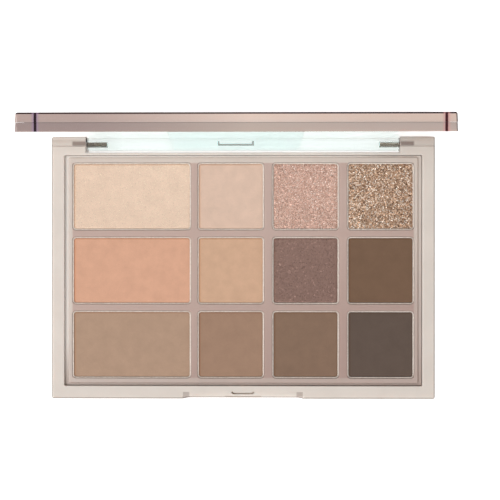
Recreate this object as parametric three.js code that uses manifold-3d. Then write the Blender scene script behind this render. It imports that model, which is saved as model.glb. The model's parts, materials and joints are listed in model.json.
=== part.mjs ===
// A twelve-pan eyeshadow palette: a flat case with a hinged lid, in millimetres, +Z up.
//
// The origin is the centre of the underside that the case stands on. +X runs along the width,
// +Y towards the hinge, +Z up. Every piece is drawn with the lid shut; the lid's group is then
// turned back about the hinge pins to the open angle in which the palette is stored.

import * as THREE from "three";
import { ConvexGeometry } from "three/addons/geometries/ConvexGeometry.js";
import { mergeVertices } from "three/addons/utils/BufferGeometryUtils.js";
import Module from "manifold-3d";

const wasm = await Module();
wasm.setup();

// ---------------------------------------------------------------- driving dimensions

const CASE = { width: 110, depth: 75.3, height: 8.5, corner: 0.65, edge: 0.5 };
const FRONT = -CASE.depth / 2;
const BACK = CASE.depth / 2;

// The recess that the pan tray drops into, measured inside the rim.
const RECESS = { width: 102.7, depth: 66.2, y: -0.8, corner: 0.4, floor: 1.3 };
const RECESS_BACK = RECESS.y + RECESS.depth / 2;

const HINGE = { y: BACK - 2.1, z: 4.5, openAngle: 86, barrelRadius: 1.85, sweepRadius: 4 };
const LUG = { width: 9.9, backWall: 0.8, sideGap: 0.2 };
const NOTCH_HALF = CASE.width / 2 - LUG.width;
const LUG_GROOVE = { y: BACK - 2.65, width: 0.3, depth: 0.2 };
const PIN = { radius: 0.55, bore: 0.62, inner: 39.4, outer: 49.0, endPlay: 0.3, sides: 24 };

// The tray: a block with a raised plateau, and twelve wells with a pan in each.
const TRAY = { gap: 0.1, bottom: 1.6, shoulder: 7.3, top: 7.9, corner: 0.35 };
const PLATEAU = { width: 100.4, depth: 64.8, y: -0.7, corner: 0.4 };
const PAN = { wall: 0.3, corner: 1.0, fit: 0.12, bottom: 3.7, rim: 7.55 };
const WELL_FLOOR = 3.4;
const PAN_DEPTH = 19.2;
const COLUMN_WIDTHS = [34, 19, 19, 19];
const COLUMN_GAPS = [2, 2.5, 2.5];
const ROW_GAP = 2.08;
const FIRST_PAN = { x: -49, y: 30.1 };
const POWDER = { gap: 0.05, belowRim: 0.22 };
const GLUE = { radius: 3.5, sides: 20 };

// The thumb recess in the front wall, the catch lip in it and the flex slot behind it.
const THUMB = { topHalf: 17.35, bottomHalf: 15.75, depth: 0.7, bottom: 3.95 };
const THUMB_SLOPE = { outerHalf: 17.9, innerHalf: 15.4, back: 2.0, drop: 0.35 };
const CHANNEL = { half: 5.2, depth: 0.3, bottom: 4.8 };
const LIP = { half: 3, low: 6.6, high: 7.1, height: 0.18 };
const FLEX_SLOT = { half: 3.35, width: 0.42, turn: 0.9, rise: 0.45, y: FRONT + 1.35, depth: 1.6 };

// The lid: a tinted cover over a clear frame that carries the mirror, the hinge and the flap.
const LID = { gap: 0.15, overhang: 0.25, thickness: 4.85, draft: 0.25, edge: 0.5, wall: 1.8, plate: 1.2 };
const LID_RIM = CASE.height + LID.gap;
const LID_TOP = LID_RIM + LID.thickness;
const LID_DEPTH = CASE.depth + LID.overhang;
const LID_Y = -LID.overhang / 2;
const LID_FRONT = FRONT - LID.overhang;
const FRAME = { shoulder: 2.3, seam: 0.04, inset: 0.08, rootInset: 0.2, border: 5.4, gap: 0.3 };
const SHOULDER = LID_RIM + FRAME.shoulder;
const LINES = { left: 5.25 - CASE.width / 2, right: CASE.width / 2 - 2.95, width: 0.6, depth: 0.25 };
const MIRROR = { gap: 0.3, low: LID_RIM + 2.1, thickness: 1.0, corner: 1.0 };
const TAPE = { inset: 3, gap: 0.1, thickness: 0.35 };
const LEAF = { thickness: 0.75, tuck: 0.01 };
const FLAP = { rootHalf: 17, tipHalf: 15.5, length: 4.5, thickness: 0.8, corner: 0.7 };
const RIDGE = { half: 4.5, bar: 0.45, low: 5.2, high: 6.35, height: 0.2 };

const LABEL = { width: 46, depth: 14, y: -20, corner: 1.5, recess: 0.2, thickness: 0.12 };

// ---------------------------------------------------------------- materials

const paint = (color, roughness, metalness = 0) =>
  new THREE.MeshStandardMaterial({ color, roughness, metalness });

const TINTED = 0xddd0c7;
const TRAY_PINK = 0xcdbcb2;
const CLEAR = 0xe8f4f1;
const ALUMINIUM = 0xd9d6d2;
const STEEL = 0x8a8682;
const SHADES = [
  ["champagne", "ivory", "rose_glitter", "gold_glitter"],
  ["peach", "sand", "mauve_shimmer", "cocoa"],
  ["taupe", "camel", "umber", "charcoal"],
];
const SHADE_COLOURS = {
  champagne: 0xe4c9b4,
  ivory: 0xd9bdaa,
  rose_glitter: 0xc7a595,
  gold_glitter: 0xb89881,
  peach: 0xd8a78d,
  sand: 0xcea98d,
  mauve_shimmer: 0x8b7065,
  cocoa: 0x775d4b,
  taupe: 0xb2947e,
  camel: 0xa0816d,
  umber: 0x876d5c,
  charcoal: 0x63544b,
};

// ---------------------------------------------------------------- solids

/** The manifold solid of a closed three.js geometry. */
function solid(geometry) {
  const bare = geometry.clone();
  bare.deleteAttribute("normal");
  bare.deleteAttribute("uv");
  const merged = mergeVertices(bare, 1e-4);
  return new wasm.Manifold(
    new wasm.Mesh({
      numProp: 3,
      vertProperties: merged.attributes.position.array,
      triVerts: new Uint32Array(merged.index.array),
    }),
  );
}

/** A named mesh from a solid, with flat-shaded normals. */
function piece(name, shape, material) {
  const made = shape.getMesh();
  const geometry = new THREE.BufferGeometry();
  geometry.setAttribute("position", new THREE.BufferAttribute(made.vertProperties, 3));
  geometry.setIndex(new THREE.BufferAttribute(made.triVerts, 1));
  const flat = geometry.toNonIndexed();
  flat.computeVertexNormals();
  const mesh = new THREE.Mesh(flat, material);
  mesh.name = name;
  return mesh;
}

/** The outline of a rectangle with round corners, centred on (x, y). */
function roundedRectangle(width, depth, corner, x = 0, y = 0) {
  const [w, d] = [width / 2, depth / 2];
  const outline = new THREE.Shape();
  outline.absarc(x + w - corner, y + d - corner, corner, 0, Math.PI / 2);
  outline.absarc(x - w + corner, y + d - corner, corner, Math.PI / 2, Math.PI);
  outline.absarc(x - w + corner, y - d + corner, corner, Math.PI, 1.5 * Math.PI);
  outline.absarc(x + w - corner, y - d + corner, corner, 1.5 * Math.PI, 2 * Math.PI);
  outline.closePath();
  return outline;
}

/** An outline raised from z = low to z = high. */
function slab(outline, low, high, steps = 4) {
  const options = { depth: high - low, bevelEnabled: false, curveSegments: steps };
  return solid(new THREE.ExtrudeGeometry(outline, options).translate(0, 0, low));
}

/** A rounded rectangle raised from low to high with its top and bottom edges rounded over. */
function softSlab(width, depth, corner, y, low, high, edge) {
  const outline = roundedRectangle(width - 2 * edge, depth - 2 * edge, corner - edge, 0, y);
  const options = {
    depth: high - low - 2 * edge,
    bevelSize: edge,
    bevelThickness: edge,
    bevelSegments: 3,
    curveSegments: 4,
  };
  return new THREE.ExtrudeGeometry(outline, options).translate(0, 0, low + edge);
}

/** A box between two corners. */
function block([x0, y0, z0], [x1, y1, z1]) {
  const box = new THREE.BoxGeometry(x1 - x0, y1 - y0, z1 - z0);
  return solid(box.translate((x0 + x1) / 2, (y0 + y1) / 2, (z0 + z1) / 2));
}

/** A rod along X about the hinge axis, from x0 to x1. */
function hingeRod(radius, x0, x1, sides) {
  const rod = new THREE.CylinderGeometry(radius, radius, x1 - x0, sides).rotateZ(Math.PI / 2);
  return solid(rod.translate((x0 + x1) / 2, HINGE.y, HINGE.z));
}

/** An outline drawn in X and Z, given thickness along Y from y0 to y1. */
function upright(outline, y0, y1) {
  const options = { depth: y1 - y0, bevelEnabled: false, curveSegments: 4 };
  return solid(new THREE.ExtrudeGeometry(outline, options).rotateX(Math.PI / 2).translate(0, y1, 0));
}

/** A symmetric trapezium in X and Z. */
function trapezium(topHalf, top, bottomHalf, bottom) {
  const outline = new THREE.Shape();
  outline.moveTo(-bottomHalf, bottom);
  outline.lineTo(bottomHalf, bottom);
  outline.lineTo(topHalf, top);
  outline.lineTo(-topHalf, top);
  outline.closePath();
  return outline;
}

// ---------------------------------------------------------------- base

/** What the lid sweeps through at the back corners, outside a circle about the hinge axis. */
function lidSweep() {
  const half = CASE.width / 2 + 1;
  const corner = block([-half, HINGE.y, HINGE.z], [half, BACK + 1, CASE.height + 1]);
  return corner.subtract(hingeRod(HINGE.sweepRadius, -half - 1, half + 1, 96));
}

/** The shallow trapezium that the lid's flap lies in, its ends wider at the top than below. */
function thumbRecess() {
  const rise = (THUMB.topHalf - THUMB.bottomHalf) / (CASE.height - THUMB.bottom);
  const top = CASE.height + 1;
  const outline = trapezium(THUMB.topHalf + rise, top, THUMB.bottomHalf, THUMB.bottom);
  return upright(outline, FRONT - 1, FRONT + THUMB.depth);
}

/** The slope on the top of the front wall, down towards the thumb recess, and up at both ends. */
function thumbSlope() {
  const { outerHalf, innerHalf, back, drop } = THUMB_SLOPE;
  const [far, near, level, above] = [FRONT + back, FRONT - 1, CASE.height, CASE.height + 1];
  const corners = [];
  for (const side of [-1, 1]) {
    const end = side * outerHalf;
    corners.push(new THREE.Vector3(end, far, level), new THREE.Vector3(end, near, level));
    corners.push(new THREE.Vector3(end, far, above), new THREE.Vector3(end, near, above));
    corners.push(new THREE.Vector3(side * innerHalf, near, level - drop));
  }
  return solid(new ConvexGeometry(corners));
}

/** A thin straight slot whose two ends turn up towards the pans. */
function flexSlot() {
  const { half, width, turn, rise, y, depth } = FLEX_SLOT;
  const inner = half - turn;
  const far = y + width;
  const outline = new THREE.Shape();
  outline.moveTo(-inner, y);
  outline.lineTo(inner, y);
  outline.quadraticCurveTo(half - turn / 3, y, half, y + rise);
  outline.lineTo(half - width, far + rise);
  outline.quadraticCurveTo(inner + turn / 3, far, inner, far);
  outline.lineTo(-inner, far);
  outline.quadraticCurveTo(-inner - turn / 3, far, -half + width, far + rise);
  outline.lineTo(-half, y + rise);
  outline.quadraticCurveTo(-half + turn / 3, y, -inner, y);
  outline.closePath();
  return slab(outline, CASE.height - depth, CASE.height + 1, 5);
}

/** The fine groove across the top of both lugs. */
function lugGroove() {
  const { y, width, depth } = LUG_GROOVE;
  const half = CASE.width / 2 + 1;
  return block([-half, y - width / 2, CASE.height - depth], [half, y + width / 2, CASE.height + 1]);
}

function catchLip() {
  const wall = FRONT + THUMB.depth + CHANNEL.depth;
  return block([-LIP.half, wall - LIP.height, LIP.low], [LIP.half, wall + 0.2, LIP.high]);
}

function baseShell() {
  const { width, depth, height, corner, edge } = CASE;
  const wall = FRONT + THUMB.depth + CHANNEL.depth;
  let shell = solid(softSlab(width, depth, corner, 0, 0, height, edge));
  shell = shell.subtract(lidSweep());
  const recess = roundedRectangle(RECESS.width, RECESS.depth, RECESS.corner, 0, RECESS.y);
  shell = shell.subtract(slab(recess, RECESS.floor, height + 1));
  const notchFront = RECESS_BACK + LUG.backWall;
  const notch = block([-NOTCH_HALF, notchFront, -1], [NOTCH_HALF, BACK + 1, height + 1]);
  const channel = block([-CHANNEL.half, FRONT - 1, CHANNEL.bottom], [CHANNEL.half, wall, height + 1]);
  shell = shell.subtract(notch).subtract(lugGroove());
  shell = shell.subtract(thumbRecess()).subtract(thumbSlope()).subtract(channel);
  shell = shell.add(catchLip()).subtract(flexSlot());
  for (const side of [-1, 1]) {
    const ends = [side * (NOTCH_HALF - 1), side * (PIN.outer + PIN.endPlay)].sort((a, b) => a - b);
    shell = shell.subtract(hingeRod(PIN.bore, ends[0], ends[1], PIN.sides));
  }
  const label = roundedRectangle(LABEL.width, LABEL.depth, LABEL.corner, 0, LABEL.y);
  return shell.subtract(slab(label, -1, LABEL.recess));
}

function hingePin(side) {
  const ends = [side * PIN.inner, side * PIN.outer].sort((a, b) => a - b);
  return hingeRod(PIN.radius, ends[0], ends[1], PIN.sides);
}

function baseLabel() {
  const label = roundedRectangle(LABEL.width - 0.6, LABEL.depth - 0.6, LABEL.corner, 0, LABEL.y);
  return slab(label, LABEL.recess - LABEL.thickness - 0.03, LABEL.recess - 0.03);
}

// ---------------------------------------------------------------- tray, pans and powders

/** The twelve pans, row by row from the hinge: each one's size, centre and place in the grid. */
function panPlaces() {
  const places = [];
  SHADES.forEach((shades, row) => {
    const y = FIRST_PAN.y - PAN_DEPTH / 2 - row * (PAN_DEPTH + ROW_GAP);
    let left = FIRST_PAN.x;
    shades.forEach((shade, column) => {
      const width = COLUMN_WIDTHS[column];
      places.push({ shade, row: row + 1, column: column + 1, width, x: left + width / 2, y });
      left += width + (COLUMN_GAPS[column] ?? 0);
    });
  });
  return places;
}

/** The outline of a pan, drawn in by inset on every side. */
function panOutline({ width, x, y }, inset) {
  const corner = Math.max(PAN.corner - inset, 0.3);
  return roundedRectangle(width - 2 * inset, PAN_DEPTH - 2 * inset, corner, x, y);
}

function panTray(places) {
  const { gap, bottom, shoulder, top, corner } = TRAY;
  const outline = roundedRectangle(RECESS.width - 2 * gap, RECESS.depth - 2 * gap, corner, 0, RECESS.y);
  const raised = roundedRectangle(PLATEAU.width, PLATEAU.depth, PLATEAU.corner, 0, PLATEAU.y);
  let tray = slab(outline, bottom, shoulder).add(slab(raised, shoulder - 1, top));
  for (const place of places) tray = tray.subtract(slab(panOutline(place, -PAN.fit), WELL_FLOOR, top + 1));
  return tray;
}

function pan(place) {
  const inside = slab(panOutline(place, PAN.wall), PAN.bottom + PAN.wall, PAN.rim + 1);
  return slab(panOutline(place, 0), PAN.bottom, PAN.rim).subtract(inside);
}

function powderCake(place) {
  const low = PAN.bottom + PAN.wall + POWDER.gap;
  return slab(panOutline(place, PAN.wall + POWDER.gap), low, PAN.rim - POWDER.belowRim);
}

/** The flat dot of glue that holds a pan down in its well. */
function glueDot({ x, y }) {
  const height = PAN.bottom - WELL_FLOOR - 0.04;
  const dot = new THREE.CylinderGeometry(GLUE.radius, GLUE.radius, height, GLUE.sides);
  return solid(dot.rotateX(Math.PI / 2).translate(x, y, (PAN.bottom + WELL_FLOOR) / 2));
}

// ---------------------------------------------------------------- lid, drawn shut

/** The lid's outer form from low to high: its walls lean in towards the top. */
function lidForm(low, high, inset = 0) {
  const form = softSlab(
    CASE.width - 2 * inset, LID_DEPTH - 2 * inset, CASE.corner, LID_Y, LID_RIM - 3, LID_TOP, LID.edge,
  );
  const position = form.attributes.position;
  for (let i = 0; i < position.count; i++) {
    const lean = (LID.draft * (position.getZ(i) - LID_RIM)) / LID.thickness;
    position.setX(i, position.getX(i) * (1 - lean / (CASE.width / 2)));
    position.setY(i, LID_Y + (position.getY(i) - LID_Y) * (1 - lean / (LID_DEPTH / 2)));
  }
  const reach = CASE.width;
  return solid(form).intersect(block([-reach, -reach, low], [reach, reach, high]));
}

/** A rectangle set in from the lid's outline by inset on every side. */
const lidOutline = (inset, corner) =>
  roundedRectangle(CASE.width - 2 * inset, LID_DEPTH - 2 * inset, corner, 0, LID_Y);

/** The two fine upright grooves in the lid's front wall, one near each end. */
function frontLines() {
  const { left, right, width, depth } = LINES;
  const back = LID_FRONT + LID.draft + depth;
  const top = LID_TOP - LID.edge - 0.1;
  const line = (x) => block([x - width / 2, LID_FRONT - 1, LID_RIM - 1], [x + width / 2, back, top]);
  return line(left).add(line(right));
}

function lidCover() {
  const cavity = slab(lidOutline(LID.wall, 1), SHOULDER - 1, LID_TOP - LID.plate);
  return lidForm(SHOULDER + FRAME.seam, LID_TOP + 1).subtract(cavity).subtract(frontLines());
}

/** The clear flap at the lid's front edge, with the U-shaped ridge that snaps under the lip. */
function flap() {
  const { rootHalf, tipHalf, length, thickness, corner } = FLAP;
  const tip = LID_RIM - length;
  const outline = new THREE.Shape();
  outline.moveTo(-rootHalf, LID_RIM + 0.5);
  outline.lineTo(-rootHalf, LID_RIM);
  outline.lineTo(-tipHalf - 0.2, tip + corner);
  outline.quadraticCurveTo(-tipHalf, tip, -tipHalf + corner, tip);
  outline.lineTo(tipHalf - corner, tip);
  outline.quadraticCurveTo(tipHalf, tip, tipHalf + 0.2, tip + corner);
  outline.lineTo(rootHalf, LID_RIM);
  outline.lineTo(rootHalf, LID_RIM + 0.5);
  outline.closePath();
  const inner = LID_FRONT + thickness;
  const { half, bar, low, high, height } = RIDGE;
  const from = inner - 0.2;
  let made = upright(outline, LID_FRONT + FRAME.rootInset, inner);
  made = made.add(block([-half, from, low], [half, inner + height, low + bar]));
  for (const side of [-half, half - bar]) {
    made = made.add(block([side, from, low], [side + bar, inner + height, high]));
  }
  return made;
}

/** The barrel between the lugs, and the leaf that ties it to the lid's back wall. */
function hingeBarrel() {
  const half = NOTCH_HALF - LUG.sideGap;
  const outer = HINGE.y + HINGE.barrelRadius - LEAF.tuck;
  const leaf = block([-half, outer - LEAF.thickness, HINGE.z], [half, outer, LID_RIM + 0.5]);
  let barrel = hingeRod(HINGE.barrelRadius, -half, half, 40).add(leaf);
  for (const side of [-1, 1]) {
    const ends = [side * (PIN.inner - PIN.endPlay), side * (half + 1)].sort((a, b) => a - b);
    barrel = barrel.subtract(hingeRod(PIN.bore, ends[0], ends[1], PIN.sides));
  }
  return barrel;
}

function lidFrame() {
  const spigotTop = LID_TOP - LID.plate - FRAME.gap;
  const spigot = slab(lidOutline(LID.wall + FRAME.gap, 1), SHOULDER - 0.5, spigotTop);
  const window = slab(lidOutline(FRAME.border, MIRROR.corner), LID_RIM - 1, LID_TOP);
  const ring = lidForm(LID_RIM, SHOULDER, FRAME.inset).add(spigot).subtract(window);
  return ring.subtract(frontLines()).add(flap()).add(hingeBarrel());
}

function mirror() {
  const outline = lidOutline(FRAME.border + MIRROR.gap, MIRROR.corner);
  return slab(outline, MIRROR.low, MIRROR.low + MIRROR.thickness);
}

function mirrorTape() {
  const low = MIRROR.low + MIRROR.thickness + TAPE.gap;
  return slab(lidOutline(FRAME.border + TAPE.inset, MIRROR.corner), low, low + TAPE.thickness);
}

// ---------------------------------------------------------------- assembly

const palette = new THREE.Group();
const places = panPlaces();

palette.add(piece("base_shell", baseShell(), paint(TINTED, 0.35)));
palette.add(piece("base_label", baseLabel(), paint(0xefe9e4, 0.8)));
palette.add(piece("pan_tray", panTray(places), paint(TRAY_PINK, 0.45)));
palette.add(piece("hinge_pin_left", hingePin(-1), paint(STEEL, 0.3, 1)));
palette.add(piece("hinge_pin_right", hingePin(1), paint(STEEL, 0.3, 1)));
for (const place of places) {
  const grid = `r${place.row}c${place.column}`;
  palette.add(piece(`glue_dot_${grid}`, glueDot(place), paint(0xe6dfc8, 0.6)));
  palette.add(piece(`pan_${grid}`, pan(place), paint(ALUMINIUM, 0.3, 1)));
  palette.add(piece(`powder_${place.shade}`, powderCake(place), paint(SHADE_COLOURS[place.shade], 0.9)));
}

// The lid's pieces are drawn in the case's frame, moved so that the hinge axis is the group's
// origin, and turned back with the group.
const lid = new THREE.Group();
lid.position.set(0, HINGE.y, HINGE.z);
lid.rotation.x = -THREE.MathUtils.degToRad(HINGE.openAngle);
const lidPieces = [
  piece("lid_cover", lidCover(), paint(TINTED, 0.3)),
  piece("lid_frame", lidFrame(), paint(CLEAR, 0.15)),
  piece("mirror", mirror(), paint(0xe9edee, 0.05, 1)),
  piece("mirror_tape", mirrorTape(), paint(0xf2efe9, 0.8)),
];
for (const part of lidPieces) {
  part.position.set(0, -HINGE.y, -HINGE.z);
  lid.add(part);
}
palette.add(lid);

export default palette;
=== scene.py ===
# %% [markdown]
# # A twelve-pan eyeshadow palette
#
# The palette is a flat case of tinted, slightly milky plastic. A tray with twelve wells drops into
# it, each well holds a thin metal pan of pressed powder, and a lid turns on two short steel pins.
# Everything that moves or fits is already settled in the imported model, so this script only makes
# the looks: finer meshes over the same sizes, a finish for every piece, light and a camera.

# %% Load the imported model
import json
import math

import bmesh
import bpy
from mathutils import Matrix, Vector, noise


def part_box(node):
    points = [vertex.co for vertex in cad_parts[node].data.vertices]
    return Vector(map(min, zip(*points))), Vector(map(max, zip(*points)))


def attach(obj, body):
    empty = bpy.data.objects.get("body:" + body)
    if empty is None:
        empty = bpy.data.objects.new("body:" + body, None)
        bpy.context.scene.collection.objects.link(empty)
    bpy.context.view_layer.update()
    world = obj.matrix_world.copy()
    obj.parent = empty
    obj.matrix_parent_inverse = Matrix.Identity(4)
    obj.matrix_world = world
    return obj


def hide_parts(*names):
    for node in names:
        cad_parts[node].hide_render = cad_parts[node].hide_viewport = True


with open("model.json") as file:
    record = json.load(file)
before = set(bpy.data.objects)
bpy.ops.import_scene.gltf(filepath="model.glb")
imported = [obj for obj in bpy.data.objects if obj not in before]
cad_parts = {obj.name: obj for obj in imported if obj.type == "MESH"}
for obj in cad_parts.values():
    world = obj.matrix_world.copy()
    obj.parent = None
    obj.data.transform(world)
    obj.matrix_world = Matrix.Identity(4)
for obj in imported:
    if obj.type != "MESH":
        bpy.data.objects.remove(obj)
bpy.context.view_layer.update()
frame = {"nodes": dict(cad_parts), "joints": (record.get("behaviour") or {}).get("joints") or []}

MM = 0.001

# %% [markdown]
# ## Where things are
#
# The case's rim, the tray's top, the hinge axis and the lid's plane are read from the packed
# model's boxes and its one joint. Smaller places, such as a groove or the end of a tone, are named
# offsets from those. The lid is stored open, so a point on it is found by turning a point of the
# shut lid about the hinge axis.

# %% The case, the hinge and the open lid
case_low, case_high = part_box("base_shell")
tray_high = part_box("pan_tray")[1]
hinge = frame["joints"][0]
HINGE_AXIS = Vector(hinge["pos_m"])
OPEN_ANGLE = math.radians(hinge["range_deg"][1])
TO_SHUT = (
    Matrix.Translation(HINGE_AXIS)
    @ Matrix.Rotation(OPEN_ANGLE, 4, "X")
    @ Matrix.Translation(-HINGE_AXIS)
)
CASE_WIDTH = case_high.x - case_low.x
CASE_TOP = case_high.z
print("case mm", [round(v / MM, 2) for v in case_high - case_low], "opens", hinge["range_deg"])

# %% [markdown]
# ## Small tools for meshes
#
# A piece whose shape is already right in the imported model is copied, not redrawn. The copy's loose
# triangles are merged and its flat areas are joined into single faces. A flat area with holes in
# it is kept apart along cuts, so that no face has to reach round a hole. Then each crisp edge gets
# a weight, and one Bevel modifier rounds them all by their weights, as a mould's edges are.

# %% Copy a node and round its edges
MERGE_DISTANCE = 0.002 * MM
FLAT_ANGLE = math.radians(0.6)
CRISP_ANGLE = math.radians(33)


def copy_of(node, cuts=()):
    """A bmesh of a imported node, its flat areas joined but kept apart at the cuts (axis, place)."""
    bm = bmesh.new()
    bm.from_mesh(frame["nodes"][node].data)
    bmesh.ops.remove_doubles(bm, verts=bm.verts, dist=MERGE_DISTANCE)
    for axis, place in cuts:
        normal = [float(i == axis) for i in range(3)]
        point = [place * n for n in normal]
        geometry = [*bm.verts, *bm.edges, *bm.faces]
        bmesh.ops.bisect_plane(bm, geom=geometry, dist=MERGE_DISTANCE, plane_co=point, plane_no=normal)

    def on_cut(edge):
        return any(
            all(abs(vert.co[axis] - place) < MERGE_DISTANCE for vert in edge.verts) for axis, place in cuts
        )

    joined = [edge for edge in bm.edges if not on_cut(edge)]
    bmesh.ops.dissolve_limit(bm, angle_limit=FLAT_ANGLE, verts=bm.verts, edges=joined)
    bm.normal_update()
    return bm


def crisp_edges(bm):
    """The edges that a real mould would leave as a corner."""
    pairs = [e for e in bm.edges if len(e.link_faces) == 2]
    return [e for e in pairs if e.calc_face_angle(0) > CRISP_ANGLE]


def put_in_scene(bm, name, smooth_below=CRISP_ANGLE):
    """The bmesh as an object at the origin, shaded smooth except over corners."""
    mesh = bpy.data.meshes.new(name)
    bm.to_mesh(mesh)
    bm.free()
    obj = bpy.data.objects.new(name, mesh)
    bpy.context.scene.collection.objects.link(obj)
    mesh.shade_smooth()
    mesh.set_sharp_from_angle(angle=smooth_below)
    return obj


def bake_modifiers(obj):
    """Turns the object's modifiers into its own mesh."""
    bpy.context.view_layer.update()
    evaluated = obj.evaluated_get(bpy.context.evaluated_depsgraph_get())
    made = bpy.data.meshes.new_from_object(evaluated)
    obj.modifiers.clear()
    obj.data = made
    made.name = obj.name
    return obj


def softened(node, name, radius_at, segments=3, cuts=()):
    """A copy of a node, each crisp edge rounded by radius_at(its middle), in metres."""
    bm = copy_of(node, cuts)
    weight = bm.edges.layers.float.new("bevel_weight_edge")
    radii = {}
    for edge in crisp_edges(bm):
        radii[edge] = radius_at((edge.verts[0].co + edge.verts[1].co) / 2)
    widest = max(radii.values())
    for edge, radius in radii.items():
        edge[weight] = radius / widest
    obj = put_in_scene(bm, name)
    bevel = obj.modifiers.new("rounding", "BEVEL")
    bevel.limit_method = "WEIGHT"
    bevel.width = widest
    bevel.segments = segments
    bevel.use_clamp_overlap = False
    bake_modifiers(obj)
    obj.data.shade_smooth()
    obj.data.set_sharp_from_angle(angle=CRISP_ANGLE)
    even = obj.modifiers.new("even_normals", "WEIGHTED_NORMAL")
    even.weight = 100
    even.keep_sharp = True
    bake_modifiers(obj)
    print(name, "edges rounded", len(radii), "faces", len(obj.data.polygons))
    return obj

# %% [markdown]
# ## The camera and the studio
#
# The palette is looked at from straight above, as a shop shows it, from about half a metre. From
# there the open lid is seen edge-on. The floor is a light table, so that the clear plastic has
# white behind it and nothing throws a hard shadow. An even white sky and two far lamps, a strong
# one at the left and a weak one at the front, give the edges their light and dark side.

# %% Camera
CAMERA_HEIGHT = 0.512
CAMERA_OVER = (0.0127, 0.00675)
AIM = Vector((0.00205, 0.0051, CASE_TOP))
SEEN_WIDTH = 0.14336

camera_data = bpy.data.cameras.new("camera")
camera = bpy.data.objects.new("camera", camera_data)
bpy.context.scene.collection.objects.link(camera)
bpy.context.scene.camera = camera
camera.location = (*CAMERA_OVER, CAMERA_HEIGHT)
forward = (AIM - camera.location).normalized()
right = forward.cross(Vector((0, 1, 0))).normalized()
up = right.cross(forward)
turned = Matrix((right, up, -forward)).transposed().to_4x4()
camera.matrix_world = Matrix.Translation(camera.location) @ turned
camera_data.lens = camera_data.sensor_width * (CAMERA_HEIGHT - CASE_TOP) / SEEN_WIDTH
print("lens mm", round(camera_data.lens, 1))

# %% Floor, sky and lamps
SKY_STRENGTH = 0.4
FLOOR_HALF = 6 * CASE_WIDTH
FLOOR_WHITE = 0.92
FLOOR_ROUGHNESS = 0.9
FLOOR_GLOW = 0.6
LAMPS = {
    "key": ((-0.95, -0.2, 1.35), 0.7, 14.4),
    "fill": ((0.4, -1.1, 1.2), 1.0, 8.0),
}


def add_lamp(name, place, size, watts):
    """A square soft lamp at a place, turned to the palette."""
    data = bpy.data.lights.new(name, "AREA")
    data.size = size
    data.energy = watts
    lamp = bpy.data.objects.new(name, data)
    lamp.location = place
    lamp.rotation_euler = (-Vector(place)).to_track_quat("-Z", "Y").to_euler()
    bpy.context.scene.collection.objects.link(lamp)


scene = bpy.context.scene
scene.view_settings.view_transform = "Standard"
world = bpy.data.worlds.new("studio")
world.use_nodes = True
world.node_tree.nodes["Background"].inputs["Color"].default_value = (1, 1, 1, 1)
world.node_tree.nodes["Background"].inputs["Strength"].default_value = SKY_STRENGTH
scene.world = world
for name, (place, size, watts) in LAMPS.items():
    add_lamp(name, place, size, watts)

bm = bmesh.new()
bmesh.ops.create_grid(bm, x_segments=1, y_segments=1, size=FLOOR_HALF)
floor = put_in_scene(bm, "floor")
floor_paint = bpy.data.materials.new("floor_paint")
floor_paint.use_nodes = True
paint = floor_paint.node_tree.nodes["Principled BSDF"]
paint.inputs["Base Color"].default_value = (FLOOR_WHITE, FLOOR_WHITE, FLOOR_WHITE, 1)
paint.inputs["Roughness"].default_value = FLOOR_ROUGHNESS
paint.inputs["Emission Color"].default_value = (1, 1, 1, 1)
paint.inputs["Emission Strength"].default_value = FLOOR_GLOW
floor.data.materials.append(floor_paint)
print("lamps", list(LAMPS), "floor m", round(2 * FLOOR_HALF, 2))

# %% [markdown]
# ## Tools for finishes
#
# A finish is a Principled shader with a few patterns in front of it. The patterns that several
# finishes share are node groups with named inputs: a fine grain, the painted shade of a rounded
# edge, and flat flakes that each lean their own way. A fourth group, further down, finds the
# edges and end lines of the lid, where its painted light and shade go. The groups put out only
# values, colours and normals, and the shader stays in the material.

# %% Node helpers


def linear(code):
    """A colour written as six hex digits, as the linear values that a shader wants."""
    parts = [int(code[i : i + 2], 16) / 255 for i in (0, 2, 4)]
    return [c / 12.92 if c <= 0.04045 else ((c + 0.055) / 1.055) ** 2.4 for c in parts] + [1.0]


def add(tree, kind, inputs=(), **settings):
    """A node with its settings and its inputs: values are set, and sockets are linked."""
    made = tree.nodes.new(kind)
    for key, value in settings.items():
        setattr(made, key, value)
    for key, value in dict(inputs).items():
        if isinstance(value, bpy.types.NodeSocket):
            tree.links.new(value, made.inputs[key])
        else:
            made.inputs[key].default_value = value
    return made


def calc(tree, operation, *values, clamp=False):
    """The output of a Math node."""
    return add(tree, "ShaderNodeMath", enumerate(values), operation=operation, use_clamp=clamp).outputs[0]


def vector_calc(tree, operation, *values):
    """The vector output of a Vector Math node."""
    return add(tree, "ShaderNodeVectorMath", enumerate(values), operation=operation).outputs[0]


def blend_colours(tree, share, first, second):
    """The colour between two, by share."""
    return add(tree, "ShaderNodeMix", {0: share, 6: first, 7: second}, data_type="RGBA").outputs[2]


def painted(tree, base, mask, most, tone):
    """base with a tone over it where the mask is up, at most by the share given."""
    return blend_colours(tree, calc(tree, "MULTIPLY", mask, most), base, tone)


def between(tree, value, low, high, to_low=0.0, to_high=1.0):
    """value stretched from low..high to to_low..to_high, and held there."""
    inputs = {0: value, 1: low, 2: high, 3: to_low, 4: to_high}
    return add(tree, "ShaderNodeMapRange", inputs, interpolation_type="SMOOTHSTEP").outputs[0]


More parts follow.
